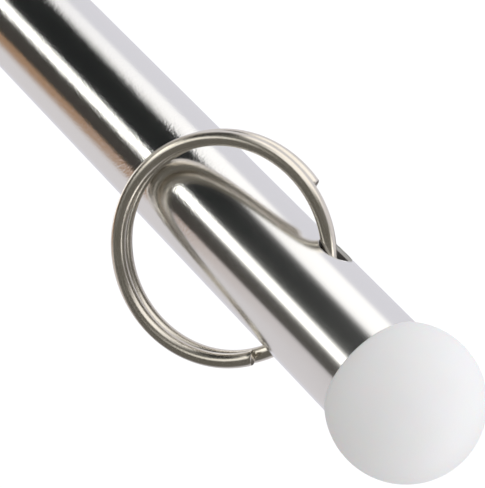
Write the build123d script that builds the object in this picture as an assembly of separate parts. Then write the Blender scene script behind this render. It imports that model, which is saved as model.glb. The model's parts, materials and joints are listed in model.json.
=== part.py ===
# Small flag staff: a polished tube with a ball cap, and split rings through cross holes for the flag.
# Millimetres, +Z up the tube. The origin is the middle of the flat foot face, and the cross holes run along X.
from build123d import *
from math import asin, cos, degrees, hypot, pi, radians, sin, sqrt, tan
import os

# Driving dimensions: tube
tube_diameter = 12.7
tube_wall = 1.0
tube_length = 241.3
tube_edge_break = 0.25

# Driving dimensions: ball cap
ball_diameter = 16.1
ball_seat_edge = 0.15
ball_stem_length = 7.0

# Driving dimensions: foot plug
plug_length = 10.0
plug_edge_break = 0.3

# The stems of both caps slide into the bore with this much room all round
stem_clearance = 0.05
stem_lead = 0.8

# Driving dimensions: split rings, round wire wound nearly twice round
wire_diameter = 1.6
ring_diameter = 24.8
coil_gap = 0.05
front_end_angle = 317.0
rear_end_angle = 296.5
ring_turn_in_slack = 5.0

# The wire's round section has this many sides, and its coil this many stretches of two arcs
wire_sides = 12
coil_stretches = 4

# Driving dimensions: cross holes that hold the rings
hole_diameter = 4.0
upper_hole_below_end = 11.9
ring_spacing = 152.4

# At rest each ring leans on the tube with this gap
lean_gap = 0.2

tube_radius = tube_diameter / 2
bore_radius = tube_radius - tube_wall
stem_radius = bore_radius - stem_clearance
ball_radius = ball_diameter / 2
wire_radius = wire_diameter / 2

# The wire's centre line crosses the axis of the hole in the middle of the tube's wall
ring_radius = ring_diameter / 2 - wire_radius
mid_wall_radius = tube_radius - tube_wall / 2
ring_reach = sqrt(ring_radius**2 - mid_wall_radius**2)
coil_pitch = wire_diameter + coil_gap

upper_hole_height = tube_length - upper_hole_below_end
lower_hole_height = upper_hole_height - ring_spacing


def lean_angle():
    """Degrees between a resting ring's plane and the tube: its rear coil lies on the front of the tube."""
    stand_off = tube_radius + lean_gap + wire_radius
    far_arc = ring_reach + ring_radius
    rear_coil = coil_pitch / 2
    return degrees(asin(stand_off / hypot(far_arc, rear_coil)) + asin(rear_coil / hypot(far_arc, rear_coil)))


def make_tube():
    """The polished tube: hollow, with its foot edge broken and two holes straight through."""
    wall = Cylinder(tube_radius, tube_length, align=(Align.CENTER, Align.CENTER, Align.MIN))
    foot_edge = wall.edges().filter_by(GeomType.CIRCLE).sort_by(Axis.Z)[0]
    wall = chamfer(foot_edge, tube_edge_break)
    bore = Cylinder(bore_radius, tube_length, align=(Align.CENTER, Align.CENTER, Align.MIN))
    tube = wall - bore
    for height in (upper_hole_height, lower_hole_height):
        hole = Cylinder(hole_diameter / 2, 2 * tube_diameter, rotation=(0, 90, 0))
        tube -= Pos(0, 0, height) * hole
    return tube


def make_stem(length):
    """A round stem that hangs down from the origin, with a tapered lead at its lower end."""
    stem = Cylinder(stem_radius, length, align=(Align.CENTER, Align.CENTER, Align.MAX))
    lead_edge = stem.edges().filter_by(GeomType.CIRCLE).sort_by(Axis.Z)[0]
    return chamfer(lead_edge, stem_lead)


def make_ball_cap():
    """The ball: cut flat where it seats on the end of the tube, with a stem that plugs the bore."""
    seat_radius = tube_radius + ball_seat_edge
    centre_height = sqrt(ball_radius**2 - seat_radius**2)
    ball = Pos(0, 0, centre_height) * Sphere(ball_radius)
    ball = split(ball, bisect_by=Plane.XY, keep=Keep.TOP)
    cap = ball + make_stem(ball_stem_length)
    return Pos(0, 0, tube_length) * cap


def make_foot_plug():
    """The plug that closes the lower end, flush with it."""
    plug = make_stem(plug_length)
    face_edge = plug.edges().filter_by(GeomType.CIRCLE).sort_by(Axis.Z)[-1]
    plug = chamfer(face_edge, plug_edge_break)
    return Rot(180, 0, 0) * plug


def coil_point(angle):
    """A point of the wire's centre line, flat on XY, at an angle in degrees from the wire's middle."""
    turn = radians(angle)
    return Vector(-ring_radius * sin(turn), ring_radius * cos(turn), coil_pitch * angle / 360)


def coil_heading(angle):
    """The way the centre line runs at that angle."""
    turn = radians(angle)
    return Vector(-ring_radius * cos(turn), -ring_radius * sin(turn), coil_pitch / (2 * pi)).normalized()


def arc_corners(start_angle, end_angle):
    """Three points for two arcs that follow a stretch of the coil and run smoothly into each other.

    The first and last are the corners where the arcs' end tangents cross, the second is where the arcs meet.
    """
    chord = coil_point(end_angle) - coil_point(start_angle)
    heading_sum = coil_heading(start_angle) + coil_heading(end_angle)
    spread = 2 - 2 * coil_heading(start_angle).dot(coil_heading(end_angle))
    along = chord.dot(heading_sum)
    leg = (sqrt(along**2 + spread * chord.dot(chord)) - along) / spread
    first = coil_point(start_angle) + coil_heading(start_angle) * leg
    last = coil_point(end_angle) - coil_heading(end_angle) * leg
    return first, (first + last) / 2, last


def bend_axis(start, corner, end):
    """The axis and the angle in degrees of the arc that leaves start towards corner and reaches end."""
    heading_in = (corner - start).normalized()
    heading_out = (end - corner).normalized()
    normal = heading_in.cross(heading_out).normalized()
    angle = heading_in.get_angle(heading_out)
    radius = (corner - start).length / tan(radians(angle / 2))
    return Axis(start + normal.cross(heading_in) * radius, normal), angle


def make_split_ring():
    """One split ring, flat on XY with the axis of its hole along X: a single wire wound as a close helix.

    The middle of the wire passes through the hole. The front coil leaves on the -X side and the rear coil
    on the +X side, and both run round until they stop at a cut end beside the other coil. The hole is wider
    than the wire, so the ring rests a little turned in it.
    """
    stretch = (front_end_angle + rear_end_angle) / coil_stretches
    rear_end = Plane(origin=coil_point(-rear_end_angle), z_dir=coil_heading(-rear_end_angle))
    section = rear_end * RegularPolygon(wire_radius, wire_sides)
    bends = []
    for count in range(coil_stretches):
        start_angle = count * stretch - rear_end_angle
        end_angle = start_angle + stretch
        first, middle, last = arc_corners(start_angle, end_angle)
        for start, corner, end in (
            (coil_point(start_angle), first, middle),
            (middle, last, coil_point(end_angle)),
        ):
            axis, angle = bend_axis(start, corner, end)
            bends.append(revolve(section, axis=axis, revolution_arc=angle))
            section = section.rotate(axis, angle)
    ring = bends[0] + bends[1:]
    return Rot(0, 0, ring_turn_in_slack) * Pos(0, -ring_reach, 0) * ring


def hang_ring(ring, hole_height):
    """Turn a flat ring about the axis of its hole until it leans on the front of the tube."""
    return Pos(0, 0, hole_height) * Rot(90 - lean_angle(), 0, 0) * ring


def main():
    ring = make_split_ring()
    nodes = {
        "pole_tube": make_tube(),
        "ball_cap": make_ball_cap(),
        "foot_plug": make_foot_plug(),
        "split_ring_upper": hang_ring(ring, upper_hole_height),
        "split_ring_lower": hang_ring(ring, lower_hole_height),
    }
    os.makedirs("parts", exist_ok=True)
    for name, solid in nodes.items():
        export_step(solid, f"parts/{name}.step")


main()
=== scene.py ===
"""Looks of a small flag staff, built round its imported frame. Metres, +Z up the tube, rings on its -Y side."""

import json
from collections import namedtuple
from math import asin, cos, degrees, hypot, pi, radians, sin, sqrt

import bmesh
import bpy
from mathutils import Matrix, Vector


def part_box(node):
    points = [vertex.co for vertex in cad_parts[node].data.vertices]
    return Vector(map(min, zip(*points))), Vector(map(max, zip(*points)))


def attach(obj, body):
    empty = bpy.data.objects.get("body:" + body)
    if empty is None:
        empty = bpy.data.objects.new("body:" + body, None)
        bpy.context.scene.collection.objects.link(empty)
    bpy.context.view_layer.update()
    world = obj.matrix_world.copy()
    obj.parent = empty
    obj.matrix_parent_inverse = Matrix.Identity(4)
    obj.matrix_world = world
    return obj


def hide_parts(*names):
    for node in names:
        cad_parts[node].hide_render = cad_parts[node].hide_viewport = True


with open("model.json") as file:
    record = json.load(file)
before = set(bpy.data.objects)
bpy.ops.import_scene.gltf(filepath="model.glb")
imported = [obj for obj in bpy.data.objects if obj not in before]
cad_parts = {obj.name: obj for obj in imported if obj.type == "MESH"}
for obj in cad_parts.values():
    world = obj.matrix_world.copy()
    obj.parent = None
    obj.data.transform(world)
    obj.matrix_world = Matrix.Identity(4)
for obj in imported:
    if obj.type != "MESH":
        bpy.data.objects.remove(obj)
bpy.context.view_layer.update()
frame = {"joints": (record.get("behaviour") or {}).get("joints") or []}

# Sizes read from the frame
tube_low, tube_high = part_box("pole_tube")
ball_low, ball_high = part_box("ball_cap")
ring_low, ring_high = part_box("split_ring_upper")
tube_radius = tube_high.x
tube_length = tube_high.z
ball_radius = ball_high.x
staff_length = ball_high.z
ring_outer_radius = (ring_high.x - ring_low.x) / 2
hole_heights = {joint["child"]: joint["pos_m"][2] for joint in frame["joints"]}

# Sizes of the tube and caps, as in the frame's solids
tube_wall = 0.0010
foot_edge_break = 0.00025
hole_radius = 0.0020
stem_clearance = 0.00005
stem_radius = tube_radius - tube_wall - stem_clearance
stem_lead = 0.0008
ball_stem_length = 0.0070
ball_seat_edge = 0.00015
ball_seat_radius = tube_radius + ball_seat_edge
plug_length = 0.0100
plug_edge_break = 0.0003

# Sizes of the split rings, as in the frame's solids
wire_radius = 0.0008
coil_pitch = 0.00165
front_end_angle = radians(317)
rear_end_angle = radians(296.5)
ring_turn_in_slack = radians(5)
lean_gap = 0.0002
ring_radius = ring_outer_radius - wire_radius
ring_reach = sqrt(ring_radius**2 - (tube_radius - tube_wall / 2) ** 2)

# Fine shapes that only the looks have: the lips of the holes, the ball's soft seat edge, and the ends of the
# wire, which are cut at a slope (length ahead for each length inward) and have broken edges
rim_bead_radius = 0.00004
ball_seat_round = 0.00025
cut_end_slope = 0.35
cut_end_break = 0.00012

# Where the tube's finish changes. Its wall's cut faces have a painted glint outside a radius, dull inside it.
# Its polish is smooth from the ball down to the first length, and has its full grain from the second one on.
painted_glint_radius = 0.0059
painted_glint_blend = 0.0001
smooth_length = 0.0160
grainy_length = 0.0320

# How finely round shapes are divided
tube_steps = 192
ball_steps = 128
hole_steps = 96
rim_bead_steps = 10
wire_steps = 28
coil_steps_per_turn = 150

# Edges sharper than this angle stay sharp, points closer than this are one, and a point is on the tube's wall
# when it is no further than this inside it
sharp_angle = radians(35)
same_place = 1e-7
wall_tolerance = 1e-5

# Camera: its place from the middle of the tube's upper end, and the way it looks
camera_place = Vector((-0.08165, -0.18663, 0.10835))
camera_azimuth = radians(23.8)
camera_elevation = radians(32.6)
camera_roll = radians(135.8)
camera_lens_mm = 170.85
camera_sensor_mm = 36
camera_nearest = 0.01

# The floor: half of its side, and how far it lies under the foot
floor_reach = 6
floor_drop = 0.0002

# The soft light on matt surfaces: brighter from above and behind on the -X side, and cooler there
light_direction = Vector((-0.60, 0.61, 0.52)).normalized()
light_side = (1.36, 1.37, 1.40, 1)
shade_side = (0.55, 0.54, 0.52, 1)
backdrop_white = (1.2, 1.2, 1.2, 1)

# The studio as polished metal mirrors it: a dark room with panels, each one in front of those before it.
# Middle and width are degrees of azimuth, from -Y towards -X. Foot and head are degrees of elevation. Slant
# moves the middle by so many degrees for each degree above panel_level. Edges are soft over `across` degrees
# at the sides and over `up` degrees at foot and head.
room_colour = (0.132, 0.127, 0.116, 1)
panel_level = -33
Panel = namedtuple("Panel", "middle width slant foot head across up colour")
panels = {
    "table": Panel(0, 400, 0, -120, -54, 14, 14, (0.40, 0.39, 0.37, 1)),
    "white sheet": Panel(-98, 90, 0, -76, -50, 20, 14, (1.5, 1.5, 1.5, 1)),
    "back wall": Panel(-170, 136, 0, -58, 70, 16, 16, (0.50, 0.50, 0.54, 1)),
    "top light": Panel(165, 160, 0, 57, 110, 40, 14, (2.0, 1.97, 1.9, 1)),
    "right wall": Panel(-98, 128, 0, -54, -24.5, 12, 4, (0.66, 0.63, 0.64, 1)),
    "left wall": Panel(160, 150, 0, -80, 52, 14, 36, (0.70, 0.69, 0.735, 1)),
    "doorway": Panel(-172, 36, 0, -15, 40, 10, 14, (0.11, 0.105, 0.10, 1)),
    "softbox": Panel(76, 68, 0, -40, 30, 11, 18, (1.15, 1.13, 1.11, 1)),
    "black card": Panel(33, 70, -1.45, -53, -8, 8, 14, (0.016, 0.017, 0.017, 1)),
    "orange edge": Panel(-50, 36, 0, -70, -34, 22, 3, (0.34, 0.21, 0.125, 1)),
    "brown cloth": Panel(-24.5, 37, 0.3, -70, 5, 3, 8, (0.05, 0.045, 0.04, 1)),
    "pale board": Panel(12, 112, 0, -22, -8, 10, 26, (0.2, 0.2, 0.19, 1)),
    "lamp": Panel(-1, 24, 0, -22, 3, 8, 10, (1.05, 1.04, 1.0, 1)),
    "strip light": Panel(-1.7, 18, -0.55, -50, -20, 3, 10, (1.7, 1.68, 1.6, 1)),
}


class Number:
    """A number that varies over a surface or over directions. Sums written with it add Math nodes."""

    def __init__(self, tree, socket):
        self.tree = tree
        self.socket = socket

    def __add__(self, other):
        return self.tree.math("ADD", self, other)

    def __sub__(self, other):
        return self.tree.math("SUBTRACT", self, other)

    def __rsub__(self, other):
        return self.tree.math("SUBTRACT", other, self)

    def __mul__(self, other):
        return self.tree.math("MULTIPLY", self, other)

    def __abs__(self):
        return self.tree.math("ABSOLUTE", self)

    __radd__ = __add__
    __rmul__ = __mul__


class ShaderTree:
    """The nodes of a material or of the studio round the staff."""

    def __init__(self, owner):
        owner.use_nodes = True
        self.nodes = owner.node_tree.nodes
        self.links = owner.node_tree.links

    def node(self, kind, settings, sockets, output=0):
        """Add a node: first its settings, then values or links of its sockets. Gives one of its outputs."""
        made = self.nodes.new(kind)
        for setting, value in settings.items():
            setattr(made, setting, value)
        for socket, value in sockets.items():
            self.put(made.inputs[socket], value)
        return Number(self, made.outputs[output])

    def put(self, socket, value):
        """Link a number to a socket, or set the socket to a plain value."""
        if isinstance(value, Number):
            self.links.new(value.socket, socket)
        else:
            socket.default_value = value

    def math(self, operation, first, second=0.0, third=0.0):
        """One sum on numbers."""
        return self.node("ShaderNodeMath", {"operation": operation}, {0: first, 1: second, 2: third})

    def mix(self, share, first, second):
        """A colour between two colours."""
        return self.node("ShaderNodeMix", {"data_type": "RGBA"}, {0: share, 6: first, 7: second}, output=2)

    def rise(self, value, low, high):
        """A smooth rise from 0 to 1 as the value goes from low to high."""
        sockets = {"Value": value, "From Min": low, "From Max": high}
        return self.node("ShaderNodeMapRange", {"interpolation_type": "SMOOTHSTEP"}, sockets)

    def axes(self, place):
        """The three coordinates of a place or direction."""
        return [self.node("ShaderNodeSeparateXYZ", {}, {0: place}, output=axis) for axis in "XYZ"]


class Finish(ShaderTree):
    """A procedural material on Object coordinates."""

    def __init__(self, name):
        self.material = bpy.data.materials.new(name)
        super().__init__(self.material)
        self.shader = self.nodes["Principled BSDF"]
        self.place = self.node("ShaderNodeTexCoord", {}, {}, output="Object")

    def noise(self, scale, detail=2.0, stretch=(1, 1, 1)):
        """Noise from 0 to 1, about `scale` blobs a metre. A stretch below 1 draws it out along an axis."""
        place = self.node("ShaderNodeMapping", {}, {"Vector": self.place, "Scale": stretch})
        return self.node("ShaderNodeTexNoise", {}, {"Vector": place, "Scale": scale, "Detail": detail})

    def bump(self, height, distance):
        """A normal that is tilted by a height from 0 to 1, which stands for this distance."""
        return self.node("ShaderNodeBump", {}, {"Height": height, "Distance": distance})

    def shade(self, **sockets):
        """Set or link sockets of the main shader, named with _ for a space. Gives the material."""
        for name, value in sockets.items():
            self.put(self.shader.inputs[name.replace("_", " ")], value)
        return self.material


def paint(piece, *materials):
    """Give a piece its materials, in the order of its faces' numbers."""
    for material in materials:
        piece.data.materials.append(material)


def polished_steel():
    """The tube's finish: a near mirror with faint lines along it, and grain that fades out near the ball."""
    finish = Finish("polished_steel")
    _, _, z = finish.axes(finish.place)
    grain = finish.noise(5200, 1.0)
    drawn = finish.noise(2500, 2.0, stretch=(1, 1, 0.02))
    cloud = finish.noise(90, 2.0)
    grainy = finish.rise(z, tube_length - smooth_length, tube_length - grainy_length)
    height = grain * (0.05 + 0.8 * grainy) + drawn * 0.13
    return finish.shade(
        Base_Color=(0.93, 0.93, 0.92, 1),
        Metallic=1.0,
        Roughness=0.15 + 0.05 * cloud - 0.06 * grainy,
        Normal=finish.bump(height, 0.000017),
    )


def bare_steel():
    """The tube's faces that aren't polished: a painted glint of matt white where the wall is cut through, dull
    grey in the bore.
    """
    finish = Finish("bare_steel")
    x, y, _ = finish.axes(finish.place)
    radius_squared = x * x + y * y
    # Painted glint: outside this radius the cut faces are matt white, standing in for a bright reflection
    cut = finish.rise(radius_squared, painted_glint_radius**2, (painted_glint_radius + painted_glint_blend) ** 2)
    grain = finish.noise(5000, 2.0)
    return finish.shade(
        Base_Color=finish.mix(cut, (0.30, 0.29, 0.28, 1), (0.96, 0.95, 0.92, 1)),
        Metallic=0.7 - 0.7 * cut,
        Roughness=0.45 + 0.1 * grain,
        Normal=finish.bump(grain, 0.000010),
    )


def ring_steel():
    """The split rings' finish: warmer drawn wire, duller than the tube."""
    finish = Finish("ring_steel")
    grain = finish.noise(9000, 2.0)
    cloud = finish.noise(300, 3.0)
    return finish.shade(
        Base_Color=finish.mix(cloud, (0.79, 0.735, 0.64, 1), (0.92, 0.875, 0.80, 1)),
        Metallic=1.0,
        Roughness=0.18 + 0.10 * cloud,
        Normal=finish.bump(grain, 0.000006),
    )


def white_plastic():
    """The ball and plug: matt moulded plastic, not quite even."""
    finish = Finish("white_plastic")
    cloud = finish.noise(140, 3.0)
    grain = finish.noise(3500, 2.0)
    return finish.shade(
        Base_Color=finish.mix(cloud, (0.765, 0.762, 0.758, 1), (0.815, 0.818, 0.828, 1)),
        Roughness=0.5 + 0.12 * grain,
        Subsurface_Weight=0.2,
        Subsurface_Scale=0.002,
        Normal=finish.bump(grain, 0.000008),
    )


def pale_floor():
    """The floor's finish: even and matt, nearly white."""
    finish = Finish("pale_floor")
    return finish.shade(Base_Color=(0.95, 0.95, 0.95, 1), Roughness=0.9, Specular_IOR_Level=0.0)


def new_object(name, bm):
    """Turn a bmesh into an object of the scene."""
    mesh = bpy.data.meshes.new(name)
    bm.to_mesh(mesh)
    bm.free()
    made = bpy.data.objects.new(name, mesh)
    bpy.context.scene.collection.objects.link(made)
    return made


def shade_round(mesh):
    """Shade a mesh smooth but for its sharp edges."""
    mesh.shade_smooth()
    mesh.set_sharp_from_angle(angle=sharp_angle)


def new_piece(name, bm, body, slot_name, *replaced):
    """Turn a bmesh into a smooth-shaded piece that rides on a body and stands for frame nodes."""
    bmesh.ops.recalc_face_normals(bm, faces=bm.faces)
    piece = new_object(name, bm)
    shade_round(piece.data)
    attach(piece, body)
    if replaced:
        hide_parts(*replaced)
    return piece


def lathe(outline, steps, closed=False):
    """Spin an outline of (radius, height) points about Z."""
    bm = bmesh.new()
    verts = [bm.verts.new((radius, 0, height)) for radius, height in outline]
    edges = [bm.edges.new(pair) for pair in zip(verts, verts[1:])]
    if closed:
        edges.append(bm.edges.new((verts[-1], verts[0])))
    bmesh.ops.spin(
        bm, geom=verts + edges, cent=(0, 0, 0), axis=(0, 0, 1), angle=2 * pi, steps=steps, use_merge=True
    )
    bmesh.ops.remove_doubles(bm, verts=bm.verts, dist=same_place)
    return bm


def make_drill():
    """Two rods along X, wider than the tube, where the cross holes go."""
    bm = bmesh.new()
    for height in hole_heights.values():
        place = Matrix.Translation((0, 0, height)) @ Matrix.Rotation(pi / 2, 4, "Y")
        bmesh.ops.create_cone(
            bm, cap_ends=True, segments=hole_steps, radius1=hole_radius, radius2=hole_radius,
            depth=4 * tube_radius, matrix=place,
        )
    return new_object("drill", bm)


def cut_away(piece, cutter):
    """Cut a cutter's shape out of a piece, and remove the cutter."""
    cut = piece.modifiers.new("cut", "BOOLEAN")
    cut.object = cutter
    cut.solver = "EXACT"
    evaluated = piece.evaluated_get(bpy.context.evaluated_depsgraph_get())
    mesh = bpy.data.meshes.new_from_object(evaluated)
    piece.modifiers.remove(cut)
    bpy.data.objects.remove(cutter)
    piece.data = mesh
    mesh.name = piece.name
    shade_round(mesh)


def make_tube():
    """The hollow tube with its cross holes, its wall's normals exactly round so that it mirrors cleanly.

    Wall and foot have the first of its two materials. The bore, the holes and the upper end have the second.
    """
    bore_radius = tube_radius - tube_wall
    outline = [
        (bore_radius, 0),
        (tube_radius - foot_edge_break, 0),
        (tube_radius, foot_edge_break),
        (tube_radius, tube_length),
        (bore_radius, tube_length),
    ]
    tube = new_piece("tube", lathe(outline, tube_steps, closed=True), "staff", "polished_tube", "pole_tube")
    cut_away(tube, make_drill())
    mesh = tube.data
    normals = [corner.vector.copy() for corner in mesh.corner_normals]
    for face in mesh.polygons:
        places = [mesh.vertices[index].co for index in face.vertices]
        on_wall = all(hypot(place.x, place.y) > tube_radius - wall_tolerance for place in places)
        on_foot = all(place.z < 2 * foot_edge_break for place in places)
        face.material_index = 0 if on_wall or on_foot else 1
        if on_wall:
            for loop, place in zip(face.loop_indices, places):
                normals[loop] = Vector((place.x, place.y, 0)).normalized()
    mesh.normals_split_custom_set(normals)
    return tube


def make_hole_rims():
    """The fine rolled lips round the mouths of the cross holes, bent onto the tube's wall."""
    bm = bmesh.new()
    for height in hole_heights.values():
        for side in (-1, 1):
            place = Matrix.Translation((0, hole_radius, 0))
            circle = bmesh.ops.create_circle(
                bm, segments=rim_bead_steps, radius=rim_bead_radius, matrix=place
            )["verts"]
            edges = list({edge for vert in circle for edge in vert.link_edges})
            bmesh.ops.spin(
                bm, geom=circle + edges, cent=(0, 0, 0), axis=(1, 0, 0), angle=2 * pi, steps=hole_steps,
                use_merge=True,
            )
            # Points of the lips made before have their tag set and stay where they are
            for vert in bm.verts:
                if not vert.tag:
                    wall = sqrt(tube_radius**2 - vert.co.y**2)
                    vert.co.x = side * (wall + vert.co.x)
                    vert.co.z += height
                    vert.tag = True
    return new_piece("hole_rims", bm, "staff", "polished_tube")


def make_ball():
    """The white ball with a softened seat edge, and the stem that plugs the tube."""
    centre = staff_length - ball_radius
    stem_foot = tube_length - ball_stem_length
    outline = [
        (0, stem_foot),
        (stem_radius - stem_lead, stem_foot),
        (stem_radius, stem_foot + stem_lead),
        (stem_radius, tube_length),
        (ball_seat_radius - ball_seat_round, tube_length),
        (ball_seat_radius - 0.3 * ball_seat_round, tube_length + 0.3 * ball_seat_round),
    ]
    arc_length = pi - asin(ball_seat_radius / ball_radius) - ball_seat_round / ball_radius
    arc_steps = ball_steps // 2
    for step in range(arc_steps + 1):
        angle = arc_length * (1 - step / arc_steps)
        outline.append((ball_radius * sin(angle), centre + ball_radius * cos(angle)))
    return new_piece("ball", lathe(outline, ball_steps), "staff", "white_plastic", "ball_cap")


def make_plug():
    """The plain plug that closes the foot."""
    outline = [
        (0, 0),
        (stem_radius - plug_edge_break, 0),
        (stem_radius, plug_edge_break),
        (stem_radius, plug_length - stem_lead),
        (stem_radius - stem_lead, plug_length),
        (0, plug_length),
    ]
    return new_piece("plug", lathe(outline, ball_steps), "staff", "white_plastic", "foot_plug")


def lean_angle():
    """The angle between a resting ring and the tube."""
    far_arc = ring_reach + ring_radius
    rear_coil = coil_pitch / 2
    stand_off = tube_radius + lean_gap + wire_radius
    return asin(stand_off / hypot(far_arc, rear_coil)) + asin(rear_coil / hypot(far_arc, rear_coil))


def make_ring(name, body, node):
    """A wire wound nearly twice round, with cut ends, turned a little in its hole and leaning on the tube."""
    bm = bmesh.new()
    place = Matrix.Rotation(-rear_end_angle, 4, "Z") @ Matrix.Translation((0, ring_radius, 0))
    place @= Matrix.Rotation(pi / 2, 4, "Y")
    circle = bmesh.ops.create_circle(bm, segments=wire_steps, radius=wire_radius, matrix=place)["verts"]
    bmesh.ops.translate(bm, verts=circle, vec=(0, 0, -coil_pitch * rear_end_angle / (2 * pi)))
    edges = list({edge for vert in circle for edge in vert.link_edges})
    wound = front_end_angle + rear_end_angle
    steps = round(coil_steps_per_turn * wound / (2 * pi))
    climb = coil_pitch * wound / (2 * pi) / steps
    bmesh.ops.spin(
        bm, geom=circle + edges, cent=(0, 0, 0), axis=(0, 0, 1), dvec=(0, 0, climb), angle=wound, steps=steps
    )
    # The two ends lean opposite ways: the one above the middle of the wire ahead, the other one back
    ends = [edge for edge in bm.edges if edge.is_boundary]
    for vert in {vert for edge in ends for vert in edge.verts}:
        inward = ring_radius - hypot(vert.co.x, vert.co.y)
        ahead = cut_end_slope * inward / ring_radius
        vert.co.rotate(Matrix.Rotation(ahead if vert.co.z > 0 else -ahead, 3, "Z"))
    bmesh.ops.edgeloop_fill(bm, edges=ends)
    bmesh.ops.bevel(
        bm, geom=ends, offset=cut_end_break, offset_type="OFFSET", segments=2, profile=0.5,
        affect="EDGES", material=-1,
    )
    flat = Matrix.Rotation(ring_turn_in_slack, 4, "Z") @ Matrix.Translation((0, -ring_reach, 0))
    hung = Matrix.Translation((0, 0, hole_heights[body])) @ Matrix.Rotation(pi / 2 - lean_angle(), 4, "X")
    bmesh.ops.transform(bm, matrix=hung @ flat, verts=bm.verts)
    return new_piece(name, bm, body, "ring_steel", node)


def make_floor():
    """A plain pale floor that the staff stands on."""
    bm = bmesh.new()
    bmesh.ops.create_grid(bm, x_segments=1, y_segments=1, size=floor_reach)
    floor = new_object("floor", bm)
    floor.location.z = -floor_drop
    floor.visible_diffuse = False
    floor.visible_glossy = False
    floor.visible_shadow = False
    return floor


def panel_share(tree, azimuth, elevation, panel):
    """How much of a panel shows in a direction, from 0 to 1."""
    middle = panel.middle + (elevation - panel_level) * panel.slant
    # The way round to the panel's middle is never more than half a turn
    off_middle = abs(tree.math("WRAP", azimuth - middle, -180.0, 180.0))
    side = panel.width / 2
    between_sides = tree.rise(off_middle, side + panel.across / 2, side - panel.across / 2)
    above_foot = tree.rise(elevation, panel.foot - panel.up / 2, panel.foot + panel.up / 2)
    below_head = tree.rise(elevation, panel.head + panel.up / 2, panel.head - panel.up / 2)
    return between_sides * above_foot * below_head


def make_studio():
    """The light: white behind the staff, soft on matt surfaces, and a room with panels that metal mirrors."""
    world = bpy.data.worlds.new("studio")
    tree = ShaderTree(world)
    direction = tree.node("ShaderNodeTexCoord", {}, {}, output="Generated")
    x, y, z = tree.axes(direction)
    azimuth = tree.math("ARCTAN2", x * -1.0, y * -1.0) * degrees(1)
    elevation = tree.math("ARCSINE", z) * degrees(1)
    mirrored = room_colour
    for panel in panels.values():
        mirrored = tree.mix(panel_share(tree, azimuth, elevation, panel), mirrored, panel.colour)
    aim = {0: direction, 1: light_direction}
    towards_light = tree.node("ShaderNodeVectorMath", {"operation": "DOT_PRODUCT"}, aim, output="Value")
    soft = tree.mix(towards_light * 0.5 + 0.5, shade_side, light_side)
    seen_by_eye = tree.node("ShaderNodeLightPath", {}, {}, output="Is Camera Ray")
    seen_in_metal = tree.node("ShaderNodeLightPath", {}, {}, output="Is Glossy Ray")
    light = tree.mix(seen_by_eye, tree.mix(seen_in_metal, soft, mirrored), backdrop_white)
    tree.put(tree.nodes["Background"].inputs["Color"], light)
    world.cycles.sampling_method = "NONE"
    bpy.context.scene.world = world


def make_camera():
    """The camera at the photograph's angle, rolled so that the staff points down to the right."""
    camera = bpy.data.objects.new("camera", bpy.data.cameras.new("camera"))
    bpy.context.scene.collection.objects.link(camera)
    camera.data.lens = camera_lens_mm
    camera.data.sensor_width = camera_sensor_mm
    camera.data.sensor_fit = "HORIZONTAL"
    camera.data.clip_start = camera_nearest
    turn = Matrix.Rotation(-camera_azimuth, 4, "Z") @ Matrix.Rotation(pi / 2 - camera_elevation, 4, "X")
    place = Matrix.Translation(Vector((0, 0, tube_length)) + camera_place)
    camera.matrix_world = place @ turn @ Matrix.Rotation(camera_roll, 4, "Z")
    bpy.context.scene.camera = camera


def main():
    """Set up camera and light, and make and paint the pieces."""
    make_camera()
    make_studio()
    floor = make_floor()
    polished = polished_steel()
    plastic = white_plastic()
    wire = ring_steel()
    paint(make_tube(), polished, bare_steel())
    paint(make_hole_rims(), polished)
    paint(make_ball(), plastic)
    paint(make_plug(), plastic)
    paint(make_ring("upper_ring_wire", "upper_ring", "split_ring_upper"), wire)
    paint(make_ring("lower_ring_wire", "lower_ring", "split_ring_lower"), wire)
    paint(floor, pale_floor())
    bpy.context.scene.view_settings.view_transform = "Standard"


main()
